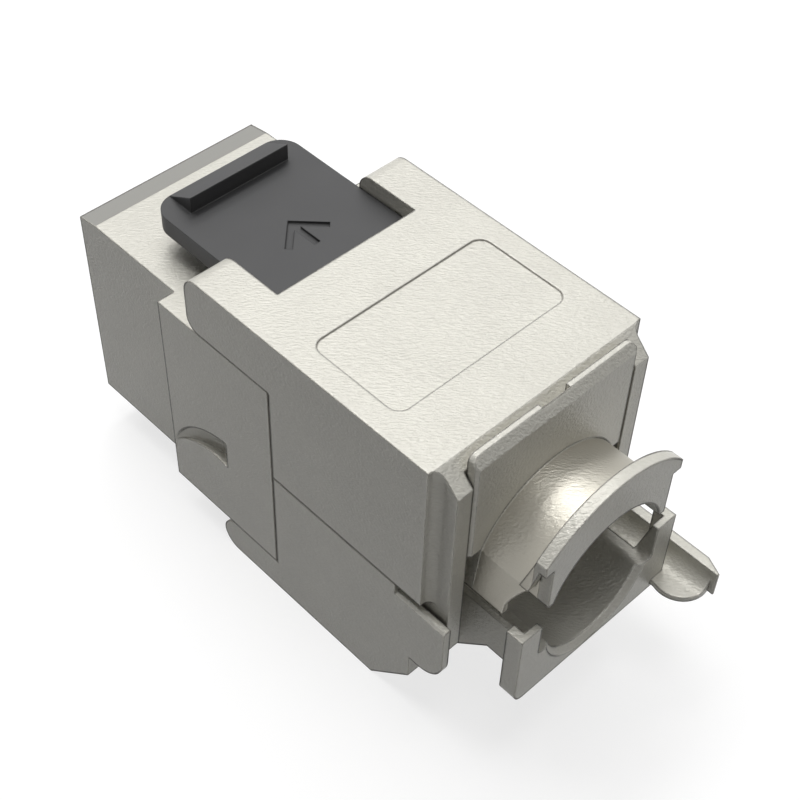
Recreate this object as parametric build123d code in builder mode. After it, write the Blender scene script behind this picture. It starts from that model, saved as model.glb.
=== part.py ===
from build123d import *
import os

# Shielded keystone jack that is closed without tools, in millimetres.
# X runs across the jack, Y runs from the plug port back to the cable, Z is up.
# The origin is the centre of the plug port in the front face.

os.makedirs("parts", exist_ok=True)

# Front housing, the block that fills the panel opening
front_width = 14.5
front_height = 16.2
front_bevel_run = 1.7
front_bevel_drop = 0.25
shoulder_y = 9.86
body_width = 17.1
seam_y = 20.2
skirt_drop = 0.2
base_z = -front_height / 2
deck_z = base_z + front_height
skirt_z = base_z - skirt_drop

# Plug port and the pocket behind it
port_width = 11.9
port_height = 7.0
port_floor_height = 5.1
port_floor_z = base_z + port_floor_height
tab_width = 6.4
tab_height = 2.2
tab_tip_width = 4.0
tab_tip_height = 1.2
port_wall = 9.5
insert_step = 0.35
pocket_width = port_width + 2 * insert_step
pocket_wall = 1.5
pocket_floor_z = base_z + pocket_wall
pocket_top_z = deck_z - pocket_wall
spring_seat_depth = 0.3
spring_seat_length = 6.0
spring_height = 4.4

# Catches that hold the jack in the panel, above and below
catch_run = 2.24
catch_y = 7.84
catch_front_y = catch_y - catch_run
catch_height = 1.15
catch_width = 7.9

# Scooped finger pocket in the side of the housing
scoop_front_y = 10.0
scoop_rear_y = 15.65
scoop_depth = 0.75
scoop_tip_z = base_z + 3.4
scoop_lip_z = base_z + 5.4
scoop_bend_y = 12.7
scoop_roof_bend_z = base_z + 6.75
scoop_lip_bend_z = base_z + 5.2
scoop_top_z = base_z + 7.75

# Clearances
running_gap = 0.05
seam_gap = 0.12
slide_gap = 0.1

# Upper jaw
shell_height = 20.55
shell_top_z = base_z + shell_height
shell_rear_y = 33.37
part_line_z = base_z + 8.5
nose_front_y = 12.85
nose_top_r = 1.2
nose_foot_r = 1.0
upper_axis_y = nose_front_y + nose_foot_r
upper_axis_z = (deck_z + running_gap + shell_top_z) / 2
notch_half = 5.55
notch_y = 17.87
side_wall = 0.8
roof_wall = 0.95
front_wall = 0.8
field_half = 6.85
field_front_y = 22.2
field_rear_y = 29.35
field_corner = 0.85
field_depth = 0.1

# Picture frame at the rear of the upper jaw
frame_step = 0.75
frame_half = body_width / 2 - frame_step
stile_width = 1.2
frame_start_y = 32.0
frame_rear_y = 34.9
frame_chamfer = 1.5
stile_bottom_z = base_z + 4.55
frame_open_top_z = base_z + 15.8
stile_corner = 0.8 * frame_step
track_z0 = base_z + 8.2
track_z1 = base_z + 19.0
track_depth = 0.4
track_y0 = 34.3
track_width = 0.36

# Hinge pins
pin_r = 0.5
upper_pin_half = 7.9
lower_pin_half = 7.6
lug_inner_x = 2.6
lug_outer_x = 3.6
lug_half_y = 0.95

# Latch arm
latch_drop = 1.15
latch_top_z = shell_top_z - latch_drop
latch_thickness = 1.4
latch_rear_y = 17.5
latch_corner = 1.6
fold_y = 11.4
fold_drop = 0.06
latch_barrel_r = latch_top_z - fold_drop - running_gap - upper_axis_z
ear_gap = 0.15
ear_pocket_half = lug_half_y + 0.3
arrow_tip_y = 12.35
arrow_size = 1.85
arrow_stroke = 0.48
arrow_depth = 0.22

# Lower jaw
tray_drop = 2.95
lower_bottom_z = base_z - tray_drop
lower_axis_y = 16.15
lower_nose_r = (skirt_z - running_gap - lower_bottom_z) / 2
lower_axis_z = lower_bottom_z + lower_nose_r
ramp_y = 29.4
lower_rear_y = 32.7
rear_wall = 0.9
sill_z = base_z + 3.3
floor_wall = 0.8
side_inner_half = frame_half + running_gap
lug_y0 = 31.25
lug_y1 = 35.4
lug_z0 = base_z + 2.35
lug_z1 = base_z + 7.75
lug_round = 2.0
lug_gap = 0.2
lug_edge = 0.2

# Cable saddle and yoke of the lower jaw
saddle_half = 5.0
saddle_floor_z = base_z + 3.45
saddle_top_z = base_z + 7.0
saddle_bore_r = 4.1
saddle_bore_z = base_z + 8.0
saddle_edge = 0.25
saddle_mouth = 0.4
saddle_lip_r = 0.4
yoke_half = 6.77
yoke_y0 = 38.44
yoke_y1 = 39.67
yoke_top_z = base_z + 9.78
yoke_wall = 0.45
yoke_inner_half = 6.14
yoke_gate_half = 5.1
yoke_corner = 0.8
gate_corner = 0.35

# Finger tongue on one side of the lower jaw
tongue_y1 = 42.9
tongue_tip_run = 1.25
tongue_cove = 1.1
tongue_tip = 0.15
tongue_tip_land = 0.4
tongue_shelf = 0.3
tongue_reach = 2.25
tongue_waist = 1.75
tongue_waist_run = 2.35
tongue_z0 = base_z + 3.8
tongue_z1 = base_z + 5.8
tongue_floor = 0.4

# Cable clamp that slides in the rear frame
clamp_travel = 4.5
plate_half = frame_half - stile_width - slide_gap
plate_y0 = 34.2
plate_y1 = 34.98
plate_z0 = base_z + 12.85
plate_z1 = base_z + 21.15
plate_bevel_run = 0.43
plate_bevel_drop = 0.75
plate_corner = 0.55
plate_groove_half = 1.12
plate_groove = 0.32
collar_r = 6.06
collar_bore_r = 4.75
collar_z = base_z + 10.5
skirt_wall = 0.5
skirt_inner_half = collar_r - skirt_wall
skirt_bottom_z = base_z + 9.6
skirt_rear_y = 37.43
skirt_bend_z = skirt_bottom_z + 0.8
skirt_top_half = (collar_r**2 - (plate_z0 - collar_z) ** 2) ** 0.5
arch_foot_z = base_z + 12.0
flange_y0 = 38.97
flange_y1 = 39.77
flange_r = 7.86
flange_half = 5.72
flange_foot_z = base_z + 15.15
leg_half = 5.03
leg_inner_half = 4.45
leg_y0 = 38.2
leg_bottom_z = saddle_top_z + clamp_travel + 0.25
gusset_width = 0.65
gusset_foot_y = leg_y0 - 0.14
skirt_bow = 0.1
plate_edge = 0.2

# Contacts and blades
contact_pitch = 1.02
contact_slot = 0.46
contact_width = 0.42
contact_thick = 0.32
contact_rise = 0.9
contact_bend = 0.3
contact_lead = 0.2
contact_reach = 3.6
contact_dip = 2.3
plug_run = 4.2
spring_thick = 0.2
spring_bow = 0.25
spring_peak = 3.42
spring_flat = 0.9
blade_pitch = 3.4
blade_width = 2.2
blade_thick = 0.5
blade_height = 4.4
blade_fork = 0.3
blade_fork_depth = 2.8
wire_width = 0.9
wire_room = 3.6

# Circuit board, blade block and wire manager between the jaws
board_y0 = seam_y + 0.15
board_thick = 1.2
core_gap = 0.85
core_half = body_width / 2 - side_wall - core_gap
core_z0 = base_z + 0.2
core_z1 = deck_z - 0.8
block_y1 = 26.8
manager_y1 = 31.4
manager_bore_r = 3.6
manager_slot_width = 1.1
manager_slot_depth = 1.5
manager_cut_lead = 1.2
manager_cut_rise = 2.6
over = 0.5


# Front housing: one die casting with the plug port, shoulders and lower catch
with BuildPart() as front_housing:
    with BuildSketch(Plane.YZ):
        with BuildLine():
            Polyline(
                (0, base_z),
                (shoulder_y, base_z),
                (shoulder_y, deck_z),
                (front_bevel_run, deck_z),
                (0, deck_z - front_bevel_drop),
                close=True,
            )
        make_face()
    extrude(amount=front_width / 2, both=True)
    with BuildSketch(Plane.YZ):
        with Locations(((shoulder_y + seam_y) / 2, (skirt_z + deck_z) / 2)):
            Rectangle(seam_y - shoulder_y, deck_z - skirt_z)
    extrude(amount=body_width / 2, both=True)
    # lower catch, a fixed wedge under the nose
    with BuildSketch(Plane.YZ):
        with BuildLine():
            Polyline(
                (catch_front_y, base_z),
                (catch_y, base_z - catch_height),
                (catch_y, base_z),
                close=True,
            )
        make_face()
    extrude(amount=catch_width / 2, both=True)
    # plug port with its stepped slot for the plug's tab
    with BuildSketch(Plane.XZ):
        with Locations((0, port_floor_z + port_height / 2)):
            Rectangle(port_width, port_height)
        with Locations((0, port_floor_z - tab_height / 2)):
            Rectangle(tab_width, tab_height)
        with Locations((0, port_floor_z - tab_height - tab_tip_height / 2)):
            Rectangle(tab_tip_width, tab_tip_height)
    extrude(amount=-port_wall, mode=Mode.SUBTRACT)
    # pocket that the contact insert is pushed into from behind
    with BuildSketch(Plane.XZ.offset(-seam_y)):
        with Locations((0, (pocket_floor_z + pocket_top_z) / 2)):
            Rectangle(pocket_width, pocket_top_z - pocket_floor_z)
    extrude(amount=seam_y - port_wall, mode=Mode.SUBTRACT)
    # seats for the two ground springs in the side walls of the port
    with BuildSketch(Plane.XY.offset(port_floor_z + (port_height - spring_height) / 2 - slide_gap)):
        for side in (-1, 1):
            with Locations(
                (
                    side * (port_width + spring_seat_depth) / 2,
                    port_wall - spring_seat_length / 2,
                )
            ):
                Rectangle(spring_seat_depth, spring_seat_length)
    extrude(amount=spring_height + 2 * slide_gap, mode=Mode.SUBTRACT)
    # two ears on the deck that carry the upper hinge pin
    with BuildSketch(Plane.YZ.offset(lug_inner_x)) as upper_ear:
        with Locations((upper_axis_y, (deck_z + upper_axis_z) / 2)):
            Rectangle(2 * lug_half_y, upper_axis_z - deck_z)
        with Locations((upper_axis_y, upper_axis_z)):
            Circle(pin_r, mode=Mode.SUBTRACT)
    extrude(amount=lug_outer_x - lug_inner_x)
    with BuildSketch(Plane.YZ.offset(-lug_outer_x)):
        add(upper_ear.sketch_local)
    extrude(amount=lug_outer_x - lug_inner_x)
    # two ears under the rear skirt that carry the lower hinge pin
    with BuildSketch(Plane.YZ.offset(lug_inner_x)) as lower_ear:
        with Locations((lower_axis_y, (skirt_z + lower_axis_z) / 2)):
            Rectangle(2 * lug_half_y, skirt_z - lower_axis_z)
        with Locations((lower_axis_y, lower_axis_z)):
            Circle(lug_half_y)
        with Locations((lower_axis_y, lower_axis_z)):
            Circle(pin_r, mode=Mode.SUBTRACT)
    extrude(amount=lug_outer_x - lug_inner_x)
    with BuildSketch(Plane.YZ.offset(-lug_outer_x)):
        add(lower_ear.sketch_local)
    extrude(amount=lug_outer_x - lug_inner_x)
    # scooped finger pocket in the left side, deeper toward the rear
    with BuildPart(mode=Mode.PRIVATE) as scoop:
        with BuildSketch(Plane.YZ.offset(body_width / 2 + scoop_depth)):
            with BuildLine():
                ThreePointArc(
                    (scoop_front_y, scoop_tip_z),
                    (scoop_bend_y, scoop_roof_bend_z),
                    (scoop_rear_y, scoop_top_z),
                )
                Line(
                    (scoop_rear_y, scoop_top_z),
                    (scoop_rear_y, scoop_lip_z),
                )
                ThreePointArc(
                    (scoop_rear_y, scoop_lip_z),
                    (scoop_bend_y, scoop_lip_bend_z),
                    (scoop_front_y, scoop_tip_z),
                )
            make_face()
        extrude(amount=-3 * scoop_depth)
        with BuildSketch(Plane.XY.offset(base_z)):
            with BuildLine():
                Polyline(
                    (body_width / 2 + scoop_depth, scoop_front_y),
                    (body_width / 2, scoop_front_y),
                    (body_width / 2 - scoop_depth, scoop_rear_y),
                    (body_width / 2 + scoop_depth, scoop_rear_y),
                    close=True,
                )
            make_face()
        extrude(amount=front_height, mode=Mode.INTERSECT)
    add(scoop.part, mode=Mode.SUBTRACT)

# Latch: one moulding, an arm on the upper pin with a wedge that snaps behind the panel
with BuildPart() as latch:
    with BuildSketch(Plane.YZ):
        with BuildLine():
            Polyline(
                (catch_front_y, latch_top_z - fold_drop),
                (fold_y, latch_top_z - fold_drop),
                (latch_rear_y, latch_top_z),
                (latch_rear_y, latch_top_z - latch_thickness),
                (catch_front_y, latch_top_z - latch_thickness),
                close=True,
            )
        make_face()
        with Locations((upper_axis_y, upper_axis_z)):
            Circle(latch_barrel_r)
    extrude(amount=notch_half - slide_gap, both=True)
    # front corners rounded in plan
    fillet(
        latch.edges().filter_by(Axis.Z, tolerance=15).group_by(Axis.Y)[0],
        radius=latch_corner,
    )
    # wedge
    with BuildSketch(Plane.YZ):
        with BuildLine():
            Polyline(
                (catch_front_y, latch_top_z - fold_drop),
                (catch_y, shell_top_z),
                (catch_y, latch_top_z - fold_drop),
                close=True,
            )
        make_face()
    extrude(amount=catch_width / 2, both=True)
    # slots over the two ears of the housing
    for side in (-1, 1):
        with BuildSketch(Plane.YZ.offset(side * (lug_inner_x + lug_outer_x) / 2)):
            with Locations((upper_axis_y, upper_axis_z - latch_barrel_r)):
                Rectangle(2 * ear_pocket_half, 2 * latch_barrel_r + 2 * (lug_half_y - pin_r))
        extrude(
            amount=(lug_outer_x - lug_inner_x) / 2 + ear_gap,
            both=True,
            mode=Mode.SUBTRACT,
        )
    # bore for the pin
    with BuildSketch(Plane.YZ):
        with Locations((upper_axis_y, upper_axis_z)):
            Circle(pin_r + running_gap / 2)
    extrude(amount=body_width / 2, both=True, mode=Mode.SUBTRACT)
    # plain arrow cut into the arm, pointing to the panel
    with BuildSketch(Plane.XY.offset(latch_top_z)):
        with BuildLine():
            Polyline(
                (0, arrow_tip_y),
                (arrow_size, arrow_tip_y + arrow_size),
                (arrow_size - arrow_stroke * 0.7, arrow_tip_y + arrow_size + arrow_stroke * 0.7),
                (arrow_stroke / 2, arrow_tip_y + 1.9 * arrow_stroke),
                (arrow_stroke / 2, arrow_tip_y + 1.5 * arrow_size),
                (-arrow_stroke / 2, arrow_tip_y + 1.5 * arrow_size),
                (-arrow_stroke / 2, arrow_tip_y + 1.9 * arrow_stroke),
                (arrow_stroke * 0.7 - arrow_size, arrow_tip_y + arrow_size + arrow_stroke * 0.7),
                (-arrow_size, arrow_tip_y + arrow_size),
                close=True,
            )
        make_face()
    extrude(amount=-arrow_depth, mode=Mode.SUBTRACT)

# Upper jaw: one die casting with two hinge noses, a roof, side walls and the rear frame
with BuildPart() as upper_shell:
    with BuildSketch(Plane.YZ):
        with BuildLine():
            Polyline(
                (nose_front_y + nose_top_r, shell_top_z),
                (shell_rear_y, shell_top_z),
                (shell_rear_y, part_line_z + seam_gap / 2),
                (seam_y + seam_gap, part_line_z + seam_gap / 2),
                (seam_y + seam_gap, deck_z + running_gap),
                (nose_front_y + nose_foot_r, deck_z + running_gap),
            )
            RadiusArc(
                (nose_front_y + nose_foot_r, deck_z + running_gap),
                (nose_front_y, deck_z + running_gap + nose_foot_r),
                nose_foot_r,
            )
            Line(
                (nose_front_y, deck_z + running_gap + nose_foot_r),
                (nose_front_y, shell_top_z - nose_top_r),
            )
            RadiusArc(
                (nose_front_y, shell_top_z - nose_top_r),
                (nose_front_y + nose_top_r, shell_top_z),
                nose_top_r,
            )
        make_face()
    extrude(amount=body_width / 2, both=True)
    # rear frame, narrower than the cover, with its top edge cut off at 45 degrees
    with BuildSketch(Plane.YZ):
        with Locations(
            (
                (frame_start_y + frame_rear_y) / 2,
                (stile_bottom_z + shell_top_z) / 2,
            )
        ):
            Rectangle(frame_rear_y - frame_start_y, shell_top_z - stile_bottom_z)
    extrude(amount=frame_half, both=True)
    fillet(
        upper_shell.edges()
        .filter_by(Axis.Z)
        .filter_by_position(Axis.Y, shell_rear_y - 0.01, shell_rear_y + 0.01)
        .filter_by_position(Axis.X, -frame_half - 0.1, frame_half + 0.1),
        radius=stile_corner,
    )
    with BuildSketch(Plane.YZ):
        with BuildLine():
            Polyline(
                (frame_rear_y, shell_top_z - frame_chamfer),
                (frame_rear_y - frame_chamfer, shell_top_z),
                (frame_rear_y, shell_top_z),
                close=True,
            )
        make_face()
    extrude(amount=body_width, both=True, mode=Mode.SUBTRACT)
    # notch between the noses for the latch
    with BuildSketch(Plane.XY.offset(deck_z)):
        with Locations((0, notch_y - 4)):
            Rectangle(2 * notch_half, 8)
    extrude(amount=6, mode=Mode.SUBTRACT)
    # inside of the cover
    with BuildSketch(Plane.YZ):
        with BuildLine():
            Polyline(
                (seam_y - 1, stile_bottom_z - 1),
                (frame_start_y, stile_bottom_z - 1),
                (frame_start_y, shell_top_z - roof_wall),
                (seam_y + front_wall, shell_top_z - roof_wall),
                (seam_y + front_wall, deck_z + 0.3),
                (seam_y - 1, deck_z + 0.3),
                close=True,
            )
        make_face()
    extrude(amount=body_width / 2 - side_wall, both=True, mode=Mode.SUBTRACT)
    # opening of the frame: cable way below, sliding place of the clamp plate behind
    with BuildSketch(Plane.XZ.offset(-frame_rear_y)):
        with Locations((0, (stile_bottom_z - 1 + frame_open_top_z) / 2)):
            Rectangle(
                2 * (plate_half + slide_gap),
                frame_open_top_z - stile_bottom_z + 1,
            )
    extrude(amount=frame_rear_y - frame_start_y + 0.5, mode=Mode.SUBTRACT)
    with BuildSketch(Plane.XZ.offset(-frame_rear_y)):
        with Locations((0, (stile_bottom_z - 1 + shell_top_z + 1) / 2)):
            Rectangle(
                2 * (plate_half + slide_gap),
                shell_top_z - stile_bottom_z + 2,
            )
    extrude(amount=frame_rear_y - plate_y0 + slide_gap, mode=Mode.SUBTRACT)
    # tracks in the stiles for the edge ribs of the plate
    with BuildSketch(Plane.XY.offset(track_z0)):
        with Locations((0, track_y0 + track_width / 2)):
            Rectangle(2 * (plate_half + slide_gap + track_depth), track_width)
    extrude(amount=track_z1 - track_z0, mode=Mode.SUBTRACT)
    # guide rib in the middle of the frame
    with BuildSketch(Plane.YZ):
        with BuildLine():
            Polyline(
                (plate_y0 - slide_gap - 0.5, frame_open_top_z),
                (plate_y0 + plate_groove - slide_gap, frame_open_top_z),
                (
                    plate_y0 + plate_groove - slide_gap,
                    shell_top_z
                    - (plate_y0 + plate_groove - slide_gap - frame_rear_y + frame_chamfer),
                ),
                (
                    plate_y0 - slide_gap - 0.5,
                    shell_top_z
                    - (plate_y0 + plate_groove - slide_gap - frame_rear_y + frame_chamfer),
                ),
                close=True,
            )
        make_face()
    extrude(amount=plate_groove_half - slide_gap, both=True)
    # blind bores for the hinge pin
    with BuildSketch(Plane.YZ):
        with Locations((upper_axis_y, upper_axis_z)):
            Circle(pin_r + running_gap / 2)
    extrude(amount=upper_pin_half + running_gap, both=True, mode=Mode.SUBTRACT)
    # shallow field for a label in the roof
    with BuildSketch(Plane.XY.offset(shell_top_z)):
        with Locations((0, (field_front_y + field_rear_y) / 2)):
            RectangleRounded(2 * field_half, field_rear_y - field_front_y, field_corner)
    extrude(amount=-field_depth, mode=Mode.SUBTRACT)

# Lower jaw: one die casting with the tray, side lugs, cable saddle, yoke and tongue
with BuildPart() as lower_shell:
    with BuildSketch(Plane.YZ):
        with BuildLine():
            Polyline(
                (lower_axis_y, lower_bottom_z),
                (ramp_y, lower_bottom_z),
                (lower_rear_y, lower_bottom_z + lower_rear_y - ramp_y),
                (lower_rear_y, lug_z1),
                (lug_y0, lug_z1),
                (lug_y0, part_line_z - seam_gap / 2),
                (seam_y + seam_gap, part_line_z - seam_gap / 2),
                (seam_y + seam_gap, skirt_z - running_gap),
                (lower_axis_y, skirt_z - running_gap),
                close=True,
            )
        make_face()
        with Locations((lower_axis_y, lower_axis_z)):
            Circle(lower_nose_r)
    extrude(amount=body_width / 2, both=True)
    # inside of the tray
    with BuildSketch(Plane.YZ):
        with BuildLine():
            Polyline(
                (seam_y + seam_gap, lower_bottom_z + floor_wall),
                (ramp_y - floor_wall * (2**0.5 - 1), lower_bottom_z + floor_wall),
                (
                    lower_rear_y - rear_wall,
                    lower_bottom_z + lower_rear_y - rear_wall - ramp_y + 2**0.5 * floor_wall,
                ),
                (lower_rear_y - rear_wall, sill_z),
                (lower_rear_y, sill_z),
                (lower_rear_y, part_line_z + 1),
                (seam_y + seam_gap, part_line_z + 1),
                close=True,
            )
        make_face()
    extrude(amount=side_inner_half, both=True, mode=Mode.SUBTRACT)
    # lug at the rear of each side wall
    for side in (-1, 1):
        with BuildSketch(Plane.YZ.offset(side * (frame_half + lug_gap + body_width / 2) / 2)):
            with BuildLine():
                Polyline(
                    (lug_y0, lug_z0),
                    (lug_y1 - lug_round, lug_z0),
                )
                RadiusArc(
                    (lug_y1 - lug_round, lug_z0),
                    (lug_y1, lug_z0 + lug_round),
                    -lug_round,
                )
                Polyline(
                    (lug_y1, lug_z0 + lug_round),
                    (lug_y1, lug_z1),
                    (lug_y0, lug_z1),
                    (lug_y0, lug_z0),
                )
            make_face()
        extrude(amount=(body_width / 2 - frame_half - lug_gap) / 2, both=True)
    chamfer(
        lower_shell.edges()
        .filter_by(Axis.Y)
        .filter_by_position(Axis.Z, lug_z1 - 0.01, lug_z1 + 0.01)
        .filter_by(lambda edge: abs(abs(edge.center().X) - body_width / 2) < 0.01),
        length=lug_edge,
    )
    # saddle block, its underside carries on the slope of the tray
    with BuildSketch(Plane.YZ):
        with BuildLine():
            Polyline(
                (
                    lower_rear_y - rear_wall,
                    lower_bottom_z + lower_rear_y - rear_wall - ramp_y,
                ),
                (
                    ramp_y + saddle_floor_z - lower_bottom_z,
                    saddle_floor_z,
                ),
                (yoke_y0, saddle_floor_z),
                (yoke_y0, saddle_top_z),
                (lower_rear_y - rear_wall, saddle_top_z),
                close=True,
            )
        make_face()
    extrude(amount=saddle_half, both=True)
    chamfer(
        lower_shell.edges()
        .filter_by(Axis.Y)
        .filter_by_position(Axis.Z, saddle_top_z - 0.01, saddle_top_z + 0.01)
        .filter_by_position(Axis.X, -saddle_half - 0.01, saddle_half + 0.01),
        length=saddle_edge,
    )
    # yoke plate across the end of the saddle
    with BuildSketch(Plane.XZ.offset(-yoke_y1)) as yoke_face:
        with Locations((0, (saddle_floor_z + yoke_top_z) / 2)):
            Rectangle(2 * yoke_half, yoke_top_z - saddle_floor_z)
        fillet(yoke_face.vertices().group_by(Axis.Y)[0], radius=yoke_corner)
    extrude(amount=yoke_y1 - yoke_y0)
    # gate between its two posts, and a sloped recess in each for the clamp's gusset
    with BuildSketch(Plane.XZ.offset(-yoke_y1)) as gate_face:
        with Locations((0, (saddle_top_z + yoke_top_z + 1) / 2)):
            Rectangle(2 * yoke_gate_half, yoke_top_z - saddle_top_z + 1)
        fillet(gate_face.vertices().group_by(Axis.Y)[0], radius=gate_corner)
    extrude(amount=yoke_y1 - yoke_y0, mode=Mode.SUBTRACT)
    with BuildSketch(Plane.YZ):
        with BuildLine():
            Polyline(
                (yoke_y0, saddle_top_z),
                (yoke_y1 - yoke_wall, yoke_top_z),
                (yoke_y1 - yoke_wall, yoke_top_z + 1),
                (yoke_y0 - 1, yoke_top_z + 1),
                (yoke_y0 - 1, saddle_top_z),
                close=True,
            )
        make_face()
    extrude(amount=yoke_inner_half, both=True, mode=Mode.SUBTRACT)
    # tongue: upright edge carried on from the side wall, with a thin half-round floor
    with BuildSketch(Plane.XY.offset(tongue_z0)):
        with BuildLine():
            Polyline(
                (-side_inner_half, lug_y1 - 1),
                (-body_width / 2, lug_y1 - 1),
                (-body_width / 2, tongue_y1 - tongue_tip_run),
                (-side_inner_half - tongue_tip, tongue_y1),
                (-side_inner_half, tongue_y1),
                close=True,
            )
        make_face()
    extrude(amount=tongue_z1 - tongue_z0)
    with BuildPart(mode=Mode.PRIVATE) as pad:
        with BuildSketch(Plane.XY.offset(tongue_z0)):
            with BuildLine():
                Polyline(
                    (-side_inner_half, tongue_y1 - tongue_tip_land),
                    (-side_inner_half, frame_rear_y + slide_gap),
                    (-side_inner_half + tongue_cove, frame_rear_y + slide_gap),
                    (-side_inner_half + tongue_cove, yoke_y0 + tongue_shelf),
                    (-side_inner_half + tongue_reach, yoke_y0 + tongue_shelf),
                    (-side_inner_half + tongue_reach, yoke_y1 + tongue_shelf),
                )
                ThreePointArc(
                    (-side_inner_half + tongue_reach, yoke_y1 + tongue_shelf),
                    (-side_inner_half + tongue_waist, yoke_y1 + tongue_waist_run),
                    (-side_inner_half, tongue_y1 - tongue_tip_land),
                )
            make_face()
        extrude(amount=tongue_z1 - tongue_z0)
        # the pad is thin and runs up into the wall in a cove
        with BuildSketch(Plane.XZ.offset(-tongue_y1)):
            with BuildLine():
                Polyline(
                    (-side_inner_half, tongue_z0 + tongue_floor + tongue_cove),
                    (-side_inner_half, tongue_z0),
                    (-side_inner_half + 3, tongue_z0),
                    (-side_inner_half + 3, tongue_z0 + tongue_floor),
                    (-side_inner_half + tongue_cove, tongue_z0 + tongue_floor),
                )
                RadiusArc(
                    (-side_inner_half + tongue_cove, tongue_z0 + tongue_floor),
                    (-side_inner_half, tongue_z0 + tongue_floor + tongue_cove),
                    tongue_cove,
                )
            make_face()
        extrude(amount=tongue_y1 - lug_y1 + 1, mode=Mode.INTERSECT)
    add(pad.part)
    # round cable way through saddle and yoke
    with BuildSketch(Plane.XZ.offset(-yoke_y1)):
        with Locations((0, saddle_bore_z)):
            Circle(saddle_bore_r)
    extrude(amount=yoke_y1 - lower_rear_y + 2 * rear_wall, mode=Mode.SUBTRACT)
    # lips of the cable way rounded off, and its mouth opened out
    lip_x = (saddle_bore_r**2 - (saddle_bore_z - saddle_top_z) ** 2) ** 0.5
    fillet(
        lower_shell.edges()
        .filter_by(Axis.Y)
        .filter_by_position(Axis.Z, saddle_top_z - 0.01, saddle_top_z + 0.01)
        .filter_by_position(Axis.X, -lip_x - 0.01, lip_x + 0.01),
        radius=saddle_lip_r,
    )
    with BuildPart(mode=Mode.PRIVATE) as mouth_cone:
        with BuildSketch(Plane.XZ.offset(-yoke_y1)):
            with Locations((0, saddle_bore_z)):
                Circle(saddle_bore_r + saddle_mouth)
        extrude(amount=2 * saddle_mouth, taper=45)
    add(mouth_cone.part, mode=Mode.SUBTRACT)
    # slots in the hinge nose for the ears of the housing, and the pin's bore
    for side in (-1, 1):
        with BuildSketch(Plane.YZ.offset(side * (lug_inner_x + lug_outer_x) / 2)):
            with Locations((lower_axis_y - (ear_pocket_half - lug_half_y), lower_axis_z)):
                Rectangle(2 * ear_pocket_half + 0.6, 2 * lower_nose_r + 0.4)
        extrude(
            amount=(lug_outer_x - lug_inner_x) / 2 + ear_gap,
            both=True,
            mode=Mode.SUBTRACT,
        )
    with BuildSketch(Plane.YZ):
        with Locations((lower_axis_y, lower_axis_z)):
            Circle(pin_r + running_gap / 2)
    extrude(amount=lower_pin_half + running_gap, both=True, mode=Mode.SUBTRACT)

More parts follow.
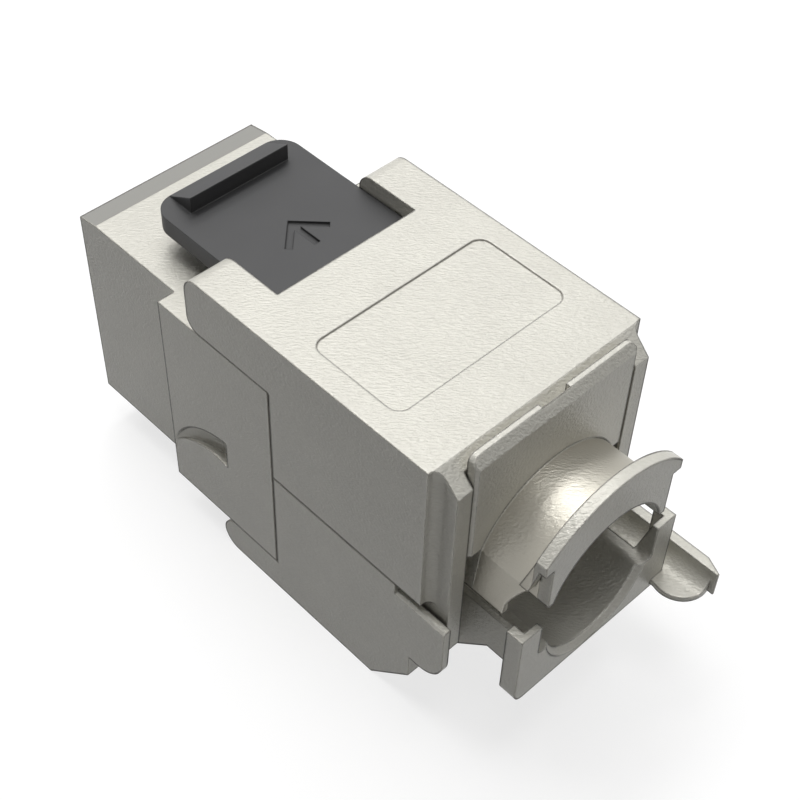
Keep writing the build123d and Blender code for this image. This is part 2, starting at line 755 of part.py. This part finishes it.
# Cable clamp: one die casting of plate, half collar and flange
with BuildPart() as cable_clamp:
    with BuildSketch(Plane.XZ.offset(-plate_y1)) as plate_face:
        with Locations((0, (plate_z0 + plate_z1) / 2)):
            Rectangle(2 * plate_half, plate_z1 - plate_z0)
        fillet(plate_face.vertices().group_by(Axis.Y)[-1], radius=plate_corner)
    extrude(amount=plate_y1 - plate_y0)
    with BuildSketch(Plane.YZ):
        with BuildLine():
            Polyline(
                (plate_y1, plate_z1 - plate_bevel_drop),
                (plate_y1 - plate_bevel_run, plate_z1),
                (plate_y1, plate_z1),
                close=True,
            )
        make_face()
    extrude(amount=plate_half, both=True, mode=Mode.SUBTRACT)
    for side in (-1, 1):
        with BuildSketch(Plane.XY.offset(plate_z0)):
            with BuildLine():
                Polyline(
                    (side * plate_half, plate_y1 - plate_edge),
                    (side * (plate_half - plate_edge), plate_y1),
                    (side * plate_half, plate_y1),
                    close=True,
                )
            make_face()
        extrude(amount=plate_z1 - plate_z0, mode=Mode.SUBTRACT)
    # edge ribs that run in the tracks of the frame
    with BuildSketch(Plane.XY.offset(track_z0 + clamp_travel + 2 * slide_gap)):
        with Locations((0, track_y0 + track_width / 2)):
            Rectangle(2 * (plate_half + track_depth), track_width - slide_gap)
    extrude(amount=track_z1 - track_z0 - clamp_travel - 4 * slide_gap)
    # half collar, with drafted skirts below the plate
    with BuildSketch(Plane.XZ.offset(-flange_y0)):
        with Locations((0, collar_z)):
            Circle(collar_r)
        with Locations((0, plate_z0 - collar_r)):
            Rectangle(3 * collar_r, 2 * collar_r, mode=Mode.SUBTRACT)
        with BuildLine():
            Polyline(
                (-collar_r, skirt_bottom_z),
                (collar_r, skirt_bottom_z),
                (skirt_top_half, plate_z0),
                (-skirt_top_half, plate_z0),
                close=True,
            )
        make_face()
    extrude(amount=flange_y0 - plate_y0)
    # gussets from the skirts up to the ends of the flange
    with BuildSketch(Plane.YZ):
        with BuildLine():
            Polyline(
                (gusset_foot_y, plate_z0),
                (flange_y0, flange_foot_z + gusset_width),
                (flange_y0 + gusset_width / 2, flange_foot_z + gusset_width),
                (flange_y0 + gusset_width / 2, flange_foot_z),
                (gusset_foot_y + gusset_width, plate_z0),
                close=True,
            )
        make_face()
    extrude(amount=flange_half, both=True)
    # rear edges of the skirts swept up to the gussets
    with BuildSketch(Plane.YZ):
        with BuildLine():
            Line(
                (skirt_rear_y, skirt_bottom_z - 1),
                (skirt_rear_y, skirt_bend_z),
            )
            ThreePointArc(
                (skirt_rear_y, skirt_bend_z),
                (
                    (skirt_rear_y + gusset_foot_y + gusset_width) / 2 - skirt_bow,
                    (skirt_bend_z + plate_z0) / 2 + skirt_bow / 2,
                ),
                (gusset_foot_y + gusset_width, plate_z0),
            )
            Polyline(
                (gusset_foot_y + gusset_width, plate_z0),
                (flange_y0 + gusset_width / 2, flange_foot_z),
                (flange_y1 + 1, flange_foot_z),
                (flange_y1 + 1, skirt_bottom_z - 1),
                (skirt_rear_y, skirt_bottom_z - 1),
            )
        make_face()
    extrude(amount=2 * collar_r, both=True, mode=Mode.SUBTRACT)
    # flange with its two legs
    with BuildSketch(Plane.XZ.offset(-flange_y1)):
        with Locations((0, collar_z)):
            Circle(flange_r)
        with Locations((0, flange_foot_z + flange_r)):
            Rectangle(2 * flange_half, 2 * flange_r, mode=Mode.INTERSECT)
        with Locations((0, (leg_bottom_z + flange_foot_z + 1) / 2)):
            Rectangle(2 * leg_half, flange_foot_z + 1 - leg_bottom_z)
    extrude(amount=flange_y1 - flange_y0)
    with BuildSketch(Plane.XZ.offset(-flange_y1)):
        with Locations((0, (leg_bottom_z + plate_z0 + gusset_width) / 2)):
            Rectangle(2 * leg_half, plate_z0 + gusset_width - leg_bottom_z)
    extrude(amount=flange_y1 - leg_y0)
    # cable way
    with BuildSketch(Plane.XZ.offset(-flange_y1)):
        with Locations((0, collar_z)):
            Circle(collar_bore_r)
        with Locations((0, (collar_z + skirt_bottom_z - 1) / 2)):
            Rectangle(2 * leg_inner_half, collar_z - skirt_bottom_z + 1)
    extrude(amount=flange_y1 - plate_y0, mode=Mode.SUBTRACT)
    with BuildSketch(Plane.XZ.offset(-leg_y0)):
        with Locations((0, (arch_foot_z + skirt_bottom_z - 1) / 2)):
            Rectangle(2 * skirt_inner_half, arch_foot_z - skirt_bottom_z + 1)
    extrude(amount=leg_y0 - plate_y0, mode=Mode.SUBTRACT)
    # groove for the guide rib
    with BuildSketch(Plane.XY.offset(plate_z0)):
        with Locations((0, plate_y0 + plate_groove / 2)):
            Rectangle(2 * plate_groove_half, plate_groove)
    extrude(amount=plate_z1 - plate_z0, mode=Mode.SUBTRACT)

# Hinge pins: plain steel rods
with BuildPart() as upper_hinge_pin:
    with BuildSketch(Plane.YZ.offset(-upper_pin_half)):
        with Locations((upper_axis_y, upper_axis_z)):
            Circle(pin_r)
    extrude(amount=2 * upper_pin_half)
with BuildPart() as lower_hinge_pin:
    with BuildSketch(Plane.YZ.offset(-lower_pin_half)):
        with Locations((lower_axis_y, lower_axis_z)):
            Circle(pin_r)
    extrude(amount=2 * lower_pin_half)

# Contact insert: moulded block behind the port with a comb for the eight springs
insert_y1 = seam_y - slide_gap
comb_z = port_floor_z + port_height
strip_z = comb_z + contact_rise
with BuildPart() as contact_insert:
    with BuildSketch(Plane.XZ.offset(-insert_y1)):
        with Locations((0, (pocket_floor_z + pocket_top_z) / 2)):
            Rectangle(pocket_width, pocket_top_z - pocket_floor_z)
    extrude(amount=insert_y1 - port_wall)
    with BuildSketch(Plane.XZ.offset(-port_wall)):
        with Locations((0, port_floor_z + port_height / 2)):
            Rectangle(port_width, port_height)
        with Locations((0, port_floor_z - tab_height / 2)):
            Rectangle(tab_width, tab_height)
    extrude(amount=-plug_run, mode=Mode.SUBTRACT)
    for number in range(8):
        with BuildSketch(Plane.YZ.offset((number - 3.5) * contact_pitch)):
            with BuildLine():
                Polyline(
                    (port_wall, comb_z),
                    (port_wall, strip_z),
                    (insert_y1, strip_z),
                    (insert_y1, strip_z - contact_thick),
                    (port_wall + plug_run, strip_z - contact_thick),
                    (port_wall + plug_run, comb_z),
                    close=True,
                )
            make_face()
        extrude(amount=contact_slot / 2, both=True, mode=Mode.SUBTRACT)

# Contact springs: eight bent strips that reach from the board down into the port
contacts = []
for number in range(8):
    with BuildPart() as contact:
        with BuildSketch(Plane.YZ.offset((number - 3.5) * contact_pitch)):
            with BuildLine():
                Polyline(
                    (board_y0, strip_z),
                    (port_wall + contact_lead, strip_z),
                    (port_wall + contact_lead, strip_z - contact_bend),
                    (port_wall + contact_reach, comb_z - contact_dip),
                    (
                        port_wall + contact_reach + 0.6 * contact_thick,
                        comb_z - contact_dip + 0.8 * contact_thick,
                    ),
                    (port_wall + contact_lead + 2.4 * contact_thick, strip_z - contact_thick),
                    (board_y0, strip_z - contact_thick),
                    close=True,
                )
            make_face()
        extrude(amount=contact_width / 2, both=True)
    contacts.append(contact.part)

# Ground springs: thin strips in the side walls of the port
spring_back_x = port_width / 2 + spring_seat_depth
spring_face_x = spring_back_x - spring_thick
springs = []
for side in (-1, 1):
    with BuildPart() as ground_spring:
        with BuildSketch(Plane.XY.offset(port_floor_z + (port_height - spring_height) / 2)):
            with BuildLine():
                Polyline(
                    (side * spring_back_x, port_wall - slide_gap),
                    (side * spring_back_x, port_wall - spring_seat_length + slide_gap),
                    (side * spring_face_x, port_wall - spring_seat_length + slide_gap),
                    (side * (port_width / 2 - spring_bow), port_wall - spring_peak),
                    (side * spring_face_x, port_wall - spring_flat),
                    (side * spring_face_x, port_wall - slide_gap),
                    close=True,
                )
            make_face()
        extrude(amount=spring_height)
    springs.append(ground_spring.part)

# Circuit board: links each spring to its blade
board_y1 = board_y0 + board_thick
with BuildPart() as circuit_board:
    with BuildSketch(Plane.XZ.offset(-board_y1)):
        with Locations((0, (core_z0 + core_z1) / 2)):
            Rectangle(2 * core_half, core_z1 - core_z0)
    extrude(amount=board_thick)

# Blade block: moulding that holds the eight insulation-displacement blades
blade_y = (board_y1 + block_y1) / 2
blade_z = (core_z1 - blade_height, core_z0)
with BuildPart() as blade_block:
    with BuildSketch(Plane.XZ.offset(-block_y1)):
        with Locations((0, (core_z0 + core_z1) / 2)):
            Rectangle(2 * core_half, core_z1 - core_z0)
    extrude(amount=block_y1 - board_y1)
    for low in blade_z:
        for row in range(4):
            with BuildSketch(Plane.XY.offset(low)):
                with Locations(((row - 1.5) * blade_pitch, blade_y)):
                    Rectangle(blade_width, blade_thick)
                with Locations(((row - 1.5) * blade_pitch, blade_y)):
                    Rectangle(wire_width, wire_room)
            extrude(amount=blade_height, mode=Mode.SUBTRACT)

# Blades: forked strips, four above and four below
blades = []
for low in blade_z:
    up = low > 0
    for row in range(4):
        with BuildPart() as blade:
            with BuildSketch(Plane.XZ.offset(-blade_y - blade_thick / 2)):
                with Locations(((row - 1.5) * blade_pitch, low + blade_height / 2)):
                    Rectangle(blade_width, blade_height)
                mouth = blade_height - blade_fork_depth / 2 if up else blade_fork_depth / 2
                with Locations(((row - 1.5) * blade_pitch, low + mouth)):
                    Rectangle(blade_fork, blade_fork_depth, mode=Mode.SUBTRACT)
            extrude(amount=blade_thick)
        blades.append(blade.part)

# Wire manager: moulding that fans the eight wires out to the blades
with BuildPart() as wire_manager:
    with BuildSketch(Plane.XZ.offset(-manager_y1)):
        with Locations((0, (core_z0 + core_z1) / 2)):
            Rectangle(2 * core_half, core_z1 - core_z0)
        with Locations((0, saddle_bore_z)):
            Circle(manager_bore_r, mode=Mode.SUBTRACT)
    extrude(amount=manager_y1 - block_y1 - slide_gap)
    for row in range(4):
        with BuildSketch(Plane.XZ.offset(-manager_y1)):
            with Locations(((row - 1.5) * blade_pitch, core_z1 - manager_slot_depth / 2)):
                Rectangle(manager_slot_width, manager_slot_depth)
            with Locations(((row - 1.5) * blade_pitch, core_z0 + manager_slot_depth / 2)):
                Rectangle(manager_slot_width, manager_slot_depth)
        extrude(amount=manager_y1 - block_y1 - slide_gap, mode=Mode.SUBTRACT)
    # rear lower corner cut away over the slope of the tray
    with BuildSketch(Plane.YZ):
        with BuildLine():
            Polyline(
                (ramp_y - manager_cut_lead, core_z0 - over),
                (manager_y1 + over, core_z0 - over),
                (manager_y1 + over, core_z0 + manager_cut_rise),
                close=True,
            )
        make_face()
    extrude(amount=core_half + over, both=True, mode=Mode.SUBTRACT)

front_housing.part.label = "front_housing"
export_step(front_housing.part, "parts/front_housing.step")
latch.part.label = "latch"
export_step(latch.part, "parts/latch.step")
upper_shell.part.label = "upper_shell"
export_step(upper_shell.part, "parts/upper_shell.step")
lower_shell.part.label = "lower_shell"
export_step(lower_shell.part, "parts/lower_shell.step")
cable_clamp.part.label = "cable_clamp"
export_step(cable_clamp.part, "parts/cable_clamp.step")
upper_hinge_pin.part.label = "upper_hinge_pin"
export_step(upper_hinge_pin.part, "parts/upper_hinge_pin.step")
lower_hinge_pin.part.label = "lower_hinge_pin"
export_step(lower_hinge_pin.part, "parts/lower_hinge_pin.step")
contact_insert.part.label = "contact_insert"
export_step(contact_insert.part, "parts/contact_insert.step")
circuit_board.part.label = "circuit_board"
export_step(circuit_board.part, "parts/circuit_board.step")
blade_block.part.label = "blade_block"
export_step(blade_block.part, "parts/blade_block.step")
wire_manager.part.label = "wire_manager"
export_step(wire_manager.part, "parts/wire_manager.step")
for number, solid in enumerate(contacts):
    solid.label = "contact_" + str(number + 1)
    export_step(solid, "parts/contact_" + str(number + 1) + ".step")
for number, solid in enumerate(blades):
    solid.label = "blade_" + str(number + 1)
    export_step(solid, "parts/blade_" + str(number + 1) + ".step")
springs[0].label = "ground_spring_right"
export_step(springs[0], "parts/ground_spring_right.step")
springs[1].label = "ground_spring_left"
export_step(springs[1], "parts/ground_spring_left.step")
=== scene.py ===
from math import radians

import bpy
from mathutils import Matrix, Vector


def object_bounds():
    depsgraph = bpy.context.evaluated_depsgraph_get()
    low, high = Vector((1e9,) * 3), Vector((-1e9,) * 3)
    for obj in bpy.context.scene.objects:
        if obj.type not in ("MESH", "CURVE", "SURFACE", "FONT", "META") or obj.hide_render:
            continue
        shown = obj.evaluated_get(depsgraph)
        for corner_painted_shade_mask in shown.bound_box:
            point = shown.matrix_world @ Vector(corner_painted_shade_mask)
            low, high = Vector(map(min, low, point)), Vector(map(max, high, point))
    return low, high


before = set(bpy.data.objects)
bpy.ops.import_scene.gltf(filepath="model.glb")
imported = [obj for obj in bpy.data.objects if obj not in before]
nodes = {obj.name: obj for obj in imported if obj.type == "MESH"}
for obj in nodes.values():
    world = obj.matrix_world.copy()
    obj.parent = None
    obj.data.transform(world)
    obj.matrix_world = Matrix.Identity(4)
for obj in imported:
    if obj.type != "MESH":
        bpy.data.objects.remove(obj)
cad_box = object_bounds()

mm = 0.001


# Front housing.
# One zinc die casting with a satin nickel plate over it. Its nose fills the panel
# opening, the plug goes in at the front, and both jaws and the latch hang on it.
class Wire:
    """The output of a shader node, which sums and products can be written with."""

    def __init__(self, tree, socket):
        self.tree = tree
        self.socket = socket

    def join(self, operation, first, second, clamped=False):
        node = self.tree.nodes.new("ShaderNodeMath")
        node.operation = operation
        node.use_clamp = clamped
        for place, value in enumerate((first, second)):
            if isinstance(value, Wire):
                self.tree.links.new(value.socket, node.inputs[place])
            else:
                node.inputs[place].default_value = value
        return Wire(self.tree, node.outputs[0])

    def __add__(self, other):
        return self.join("ADD", self, other)

    def __radd__(self, other):
        return self.join("ADD", other, self)

    def __sub__(self, other):
        return self.join("SUBTRACT", self, other)

    def __rsub__(self, other):
        return self.join("SUBTRACT", other, self)

    def __mul__(self, other):
        return self.join("MULTIPLY", self, other)

    def clamped(self):
        """The same, held between 0 and 1."""
        return self.join("ADD", self, 0.0, clamped=True)

    def between(self, low, high):
        """1 between those two places in metres and 0 outside them."""
        blur = 0.025 * mm
        after_low = ((self - low) * (1.0 / blur)).clamped()
        before_high = ((high - self) * (1.0 / blur)).clamped()
        return after_low * before_high


class Tree:
    """The node tree of a material or world, built up node by node."""

    def __init__(self, owner, output):
        owner.use_nodes = True
        self.tree = owner.node_tree
        self.tree.nodes.clear()
        self.out = self.tree.nodes.new(output)

    def node(self, kind, settings=None, **sockets):
        """A new node with those settings and with those values or links put in."""
        made = self.tree.nodes.new(kind)
        for name, value in (settings or {}).items():
            setattr(made, name, value)
        for name, value in sockets.items():
            socket = made.inputs[name.replace("_", " ")]
            if isinstance(value, Wire):
                self.tree.links.new(value.socket, socket)
            elif isinstance(value, bpy.types.NodeSocket):
                self.tree.links.new(value, socket)
            else:
                socket.default_value = value
        return made

    def close(self, shader):
        """Ends the tree with that shader."""
        self.tree.links.new(shader.outputs[0], self.out.inputs[0])

    def blend(self, factor, first, second):
        """First colour where the factor is 0, second where it is 1."""
        made = self.node("ShaderNodeMix", {"data_type": "RGBA"})
        factor_in, first_in, second_in = 0, 6, 7
        for place, value in ((factor_in, factor), (first_in, first), (second_in, second)):
            if isinstance(value, Wire):
                self.tree.links.new(value.socket, made.inputs[place])
            else:
                made.inputs[place].default_value = value
        colour_out = 2
        return Wire(self.tree, made.outputs[colour_out])

    def shown(self):
        """1 for what the camera sees, also in a mirror or through glass, and 0 for light."""
        path = self.node("ShaderNodeLightPath")
        camera_ray, glossy_ray, transmission_ray = [
            Wire(self.tree, path.outputs[name])
            for name in ("Is Camera Ray", "Is Glossy Ray", "Is Transmission Ray")
        ]
        return (camera_ray + glossy_ray + transmission_ray).clamped()


class Finish(Tree):
    """A surface finish, laid out by the place on the piece."""

    def __init__(self, name):
        self.material = bpy.data.materials.new(name)
        super().__init__(self.material, "ShaderNodeOutputMaterial")
        self.place = self.node("ShaderNodeTexCoord").outputs["Object"]

    def noise(self, size, length=(1.0, 1.0, 1.0), turn=0.0):
        """Noise from 0 to 1, its lumps that size in metres and that much longer."""
        placed = self.node(
            "ShaderNodeMapping",
            {"vector_type": "TEXTURE"},
            Vector=self.place,
            Rotation=(0.0, 0.0, radians(turn)),
            Scale=length,
        ).outputs["Vector"]
        made = self.node("ShaderNodeTexNoise", {}, Vector=placed, Scale=1.0 / size, Detail=2.0)
        return Wire(self.tree, made.outputs[0])

    def places(self):
        """The three object coordinates: across, along and up."""
        split = self.node("ShaderNodeSeparateXYZ", {}, Vector=self.place)
        return [Wire(self.tree, part) for part in split.outputs]

    def rounded(self, radius):
        """The surface's direction with its edges rounded, for a radius in metres."""
        return self.node("ShaderNodeBevel", {"samples": 6}, Radius=radius).outputs[0]

    def edges(self, width):
        """1 on sharp edges and 0 on flats, within that width in metres."""
        return 1.0 - self.agreement(width, "Normal")

    def towards_eye(self, width):
        """1 where the rounded surface faces the eye and 0 where it turns away."""
        return self.agreement(width, "Incoming")

    def agreement(self, width, direction):
        """How far the rounded surface points in one of the directions of the geometry."""
        geometry = self.node("ShaderNodeNewGeometry")
        product = self.node("ShaderNodeVectorMath", {"operation": "DOT_PRODUCT"})
        self.tree.links.new(self.rounded(width), product.inputs[0])
        self.tree.links.new(geometry.outputs[direction], product.inputs[1])
        return Wire(self.tree, product.outputs["Value"])

    def creases(self, reach):
        """1 deep in corners and 0 on open faces, within that reach in metres."""
        open_sky = self.node("ShaderNodeAmbientOcclusion", {"samples": 6}, Distance=reach)
        return 1.0 - Wire(self.tree, open_sky.outputs["AO"])

    def bumps(self, height, strength, depth, edge_radius):
        """That height as bumps of a depth in metres, over rounded edges."""
        return self.node(
            "ShaderNodeBump",
            {},
            Strength=strength,
            Distance=depth,
            Height=height,
            Normal=self.rounded(edge_radius),
        ).outputs[0]

    def surface(self, rim=None, **sockets):
        """Ends the finish with a surface of those values, painted near black as a dark
        reflection where the rim is 1.
        """
        shader = self.node("ShaderNodeBsdfPrincipled", {}, **sockets)
        if rim is not None:
            # painted reflection: a near-black surface mixed in where the rim is 1
            dark = self.node(
                "ShaderNodeBsdfPrincipled",
                {},
                Base_Color=(0.02, 0.018, 0.015, 1.0),
                Specular_IOR_Level=0.1,
                Roughness=0.6,
            )
            lit = shader
            shader = self.node("ShaderNodeMixShader", {}, Fac=rim)
            for place, part in enumerate((lit, dark), 1):
                self.tree.links.new(part.outputs[0], shader.inputs[place])
        self.close(shader)
        return self.material


def cover(node, material):
    """Puts a finish on a piece of the frame."""
    slots = nodes[node].data.materials
    slots.clear()
    slots.append(material)


def satin_nickel(name, smooth_shaded_front=False, glossy_shaded_collar=False):
    finish = Finish(name)
    pale_cast, dark_cast = (0.7, 0.685, 0.62, 1.0), (0.59, 0.575, 0.52, 1.0)
    # painted light and shade: the next five colours are bevel shade, collar shade, edge
    # highlight, dark edge line and corner shade
    bevel_painted_shade = (0.33, 0.325, 0.305, 1.0)
    collar_painted_shade = (0.46, 0.44, 0.385, 1.0)
    edge_painted_highlight = (0.84, 0.83, 0.79, 1.0)
    edge_painted_dark_line = (0.1, 0.09, 0.07, 1.0)
    corner_painted_shade = (0.16, 0.15, 0.13, 1.0)
    warm_white = (1.0, 0.98, 0.92, 1.0)
    # the casting's skin: short flow marks along the roof's grain, fine sand and clouds
    flow_length, flow_turn = (2.6, 1.0, 1.0), 135.0
    flow = finish.noise(0.15 * mm, flow_length, flow_turn)
    sand = finish.noise(0.1 * mm)
    cloud = finish.noise(4.0 * mm)
    contrast = 2.6
    mottle = (cloud * 0.35 + flow * 0.45 + sand * 0.2 - 0.5) * contrast + 0.5
    skin = finish.blend(mottle.clamped(), dark_cast, pale_cast)
    grain = flow * 0.8 + sand * 0.2
    if smooth_shaded_front:
        # the bevel on top of the nose has no cast grain, and is painted darker as shade, for
        # its forward tilt
        across, along, up = finish.places()
        bevel_front, bevel_back, bevel_half = -1.0 * mm, 1.68 * mm, 7.2 * mm
        bevel_foot, bevel_top = 7.82 * mm, 14.0 * mm
        bevel = along.between(bevel_front, bevel_back) * up.between(bevel_foot, bevel_top)
        bevel = bevel * across.between(-bevel_half, bevel_half)
        skin = finish.blend(bevel, skin, bevel_painted_shade)
        grain = grain * (1.0 - bevel)
    collar_gloss_and_shade = 0.0
    if glossy_shaded_collar:
        # between plate and flange the half collar is more metallic, a little rougher and less
        # grainy, and its colour is painted darker as shade
        across, along, up = finish.places()
        collar_start, collar_end = 35.02 * mm, 38.94 * mm
        collar_gloss_and_shade = along.between(collar_start, collar_end)
        skin = finish.blend(collar_gloss_and_shade, skin, collar_painted_shade)
        grain = grain * (1.0 - collar_gloss_and_shade * 0.6)
    # painted highlight beside edges, in place of lit rounded edges, and a painted dark line
    # right on them
    edge_width = 0.24 * mm
    edge = finish.edges(edge_width)
    bright = ((edge - 0.01) * 12.0).clamped()
    # painted shade: the dark line right on each edge
    through = ((edge - 0.05) * 14.0).clamped()
    edge_highlit_skin = finish.blend(bright * 0.7, skin, edge_painted_highlight)
    edge_lined_skin = finish.blend(through * 0.85, edge_highlit_skin, edge_painted_dark_line)
    # painted shade in the corners
    corner_painted_shade_mask = (finish.creases(0.5 * mm) * 1.6 - 0.5).clamped()
    # painted reflection: a rounded edge that turns away from the eye is painted near black, as
    # if it mirrored a dark room
    turned_away = ((0.45 - finish.towards_eye(edge_width)) * 10.0).clamped()
    beside_edge = ((edge - 0.004) * 40.0).clamped()
    return finish.surface(
        rim=turned_away * beside_edge * 0.95,
        Base_Color=finish.blend(corner_painted_shade_mask * 0.7, edge_lined_skin, corner_painted_shade),
        Metallic=0.07 + bright * 0.45 + collar_gloss_and_shade * 0.48,
        Specular_IOR_Level=0.45,
        Specular_Tint=warm_white,
        Roughness=0.28 + cloud * 0.06 + collar_gloss_and_shade * 0.08,
        Normal=finish.bumps(grain, strength=1.0, depth=0.08 * mm, edge_radius=0.2 * mm),
    )


cover("front_housing", satin_nickel("satin_nickel_housing", smooth_shaded_front=True))


# Latch.
# One matt black moulding on the upper pin. Its wedge snaps behind the panel, and
# it is pressed down to let the jack out.
def shade(colour, share):
    """That share of a colour, as the value of a socket."""
    return tuple(min(1.0, share * part) for part in colour) + (1.0,)


def moulding(name, colour, roughness):
    finish = Finish(name)
    spark = finish.noise(0.12 * mm)
    cloud = finish.noise(3.0 * mm)
    open_face = finish.blend(cloud, shade(colour, 0.85), shade(colour, 1.1))
    # painted shade: recesses and corners are painted darker than the open faces, as they keep
    # less light
    corner_painted_shade_mask = (finish.creases(0.8 * mm) * 2.0 - 0.25).clamped()
    return finish.surface(
        Base_Color=finish.blend(corner_painted_shade_mask, open_face, shade(colour, 0.12)),
        Roughness=roughness + cloud * 0.1,
        Normal=finish.bumps(spark, strength=0.2, depth=0.01 * mm, edge_radius=0.12 * mm),
    )


cover("latch", moulding("black_latch_moulding", (0.025, 0.025, 0.026), 0.5))


# Upper jaw.
# A die casting in the same nickel. Its two round noses turn on the upper pin, and
# its rear frame guides the cable clamp.
cover("upper_shell", satin_nickel("satin_nickel_upper_jaw"))

# Lower jaw.
# A die casting in the same nickel: tray, side lugs, saddle, yoke and finger tongue.
cover("lower_shell", satin_nickel("satin_nickel_lower_jaw"))

# Cable clamp.
# A die casting of plate, half collar and flange, pushed down on the cable's screen.
cover("cable_clamp", satin_nickel("satin_nickel_clamp", glossy_shaded_collar=True))


# Hinge pins.
# Ground steel rods, pressed in from one side and closed in by the noses.
def bright_metal(name, colour, roughness):
    finish = Finish(name)
    drawn_length = (10.0, 1.0, 1.0)
    drawn = finish.noise(0.2 * mm, drawn_length)
    return finish.surface(
        Base_Color=finish.blend(drawn, shade(colour, 0.85), shade(colour, 1.1)),
        Metallic=1.0,
        Roughness=roughness + drawn * 0.1,
    )


steel = bright_metal("ground_steel_pin", (0.6, 0.6, 0.6), 0.25)
cover("upper_hinge_pin", steel)
cover("lower_hinge_pin", steel)

# Contact insert.
# A black moulding behind the port, with a comb that keeps the springs apart.
cover("contact_insert", moulding("black_insert_moulding", (0.03, 0.03, 0.032), 0.45))

# Contact springs.
# Eight bent bronze strips with gold plate.
gold = bright_metal("gold_contact_plate", (0.83, 0.6, 0.22), 0.2)
for number in range(1, 9):
    cover("contact_" + str(number), gold)

# Ground springs.
# Bronze strips that touch the plug's shield on both sides.
bronze = bright_metal("bronze_ground_spring", (0.72, 0.5, 0.32), 0.28)
cover("ground_spring_left", bronze)
cover("ground_spring_right", bronze)


# Circuit board.
# Glass fibre board with green solder mask, held between insert and blade block.
def solder_mask(name):
    finish = Finish(name)
    weave = finish.noise(0.4 * mm)
    dark_green, light_green = (0.015, 0.12, 0.05, 1.0), (0.03, 0.2, 0.09, 1.0)
    return finish.surface(
        Base_Color=finish.blend(weave, dark_green, light_green),
        Roughness=0.3 + weave * 0.1,
    )


cover("circuit_board", solder_mask("green_solder_mask"))

# Blade block.
# A black moulding that holds the eight blades upright.
cover("blade_block", moulding("black_block_moulding", (0.035, 0.035, 0.037), 0.5))

# Blades.
# Forked bronze strips with bright tin plate, which cut into the wires.
tin = bright_metal("bright_tin_blade", (0.72, 0.72, 0.7), 0.22)
for number in range(1, 9):
    cover("blade_" + str(number), tin)

# Wire manager.
# A pale grey moulding that leads the eight wires from the cable to the blades.
cover("wire_manager", moulding("pale_manager_moulding", (0.6, 0.59, 0.55), 0.45))


# Floor.
# A plain pale sheet under the jack. What the camera sees of it is near white, and
# the light that it gives to the jack is weak.
def grey(level):
    return (level, level, level, 1.0)


def pale_sheet(name):
    finish = Finish(name)
    shown = finish.shown()
    return finish.surface(
        Base_Color=finish.blend(shown, grey(0.06), grey(0.3)),
        Emission_Color=finish.blend(shown, grey(0.0), grey(0.74)),
        Emission_Strength=1.0,
        Roughness=0.9,
    )


bpy.ops.object.select_all(action="DESELECT")
floor_z = cad_box[0][2]
floor_size = 3.0
bpy.ops.mesh.primitive_plane_add(size=floor_size, location=(0.0, 0.0, floor_z))
floor = bpy.context.object
floor.name = "floor_sheet"
floor.data.transform(floor.matrix_world)
floor.matrix_world.identity()
floor.data.materials.append(pale_sheet("pale_floor"))

# World.
# White surroundings for the camera and for mirrors, which give the jack little light.
world = bpy.data.worlds.new("pale_room")
bpy.context.scene.world = world
room = Tree(world, "ShaderNodeOutputWorld")
room_colour = room.blend(room.shown(), grey(0.05), grey(1.0))
room.close(room.node("ShaderNodeBackground", {}, Color=room_colour))


# Lamps.
# A wide soft window above the plug end and a narrow strip before it that makes the
# highlight of the collar, with weaker panels overhead and behind the cable end.
def soft_panel(name, place, aim, shape, size, watts):
    bpy.ops.object.light_add(type="AREA", location=place)
    lamp = bpy.context.object
    lamp.name = name
    lamp.data.shape = shape
    lamp.data.size, lamp.data.size_y = size
    lamp.data.energy = watts
    towards = Vector(aim) - Vector(place)
    lamp.rotation_euler = towards.to_track_quat("-Z", "Y").to_euler()


soft_panel(
    "window_panel",
    place=(-0.34, -0.33, 0.55),
    aim=(-0.34, 0.0, 0.0),
    shape="RECTANGLE",
    size=(1.05, 0.32),
    watts=2.2,
)
soft_panel(
    "strip_panel",
    place=(-0.06, -0.25, 0.7),
    aim=(-0.06, 0.03, 0.0),
    shape="RECTANGLE",
    size=(0.6, 0.14),
    watts=2.1,
)
soft_panel(
    "overhead_panel",
    place=(-0.05, 0.04, 0.76),
    aim=(-0.05, 0.041, 0.0),
    shape="DISK",
    size=(0.4, 0.4),
    watts=1.8,
)
soft_panel(
    "rear_panel",
    place=(-0.05, 0.8, 0.5),
    aim=(0.0, 0.03, 0.0),
    shape="RECTANGLE",
    size=(0.7, 0.5),
    watts=0.8,
)

# Camera.
# Above the cable end, where the photograph was taken from.
bpy.ops.object.camera_add(location=(45.60 * mm, 67.55 * mm, 73.63 * mm))
camera = bpy.context.object
camera.rotation_euler = (radians(42.2135), radians(-1.4902), radians(136.1829))
camera.data.sensor_width = 36.0
camera.data.lens = 68.51
camera.data.clip_start = 0.005
camera.data.clip_end = 10.0
bpy.context.scene.camera = camera
bpy.context.scene.view_settings.view_transform = "Standard"
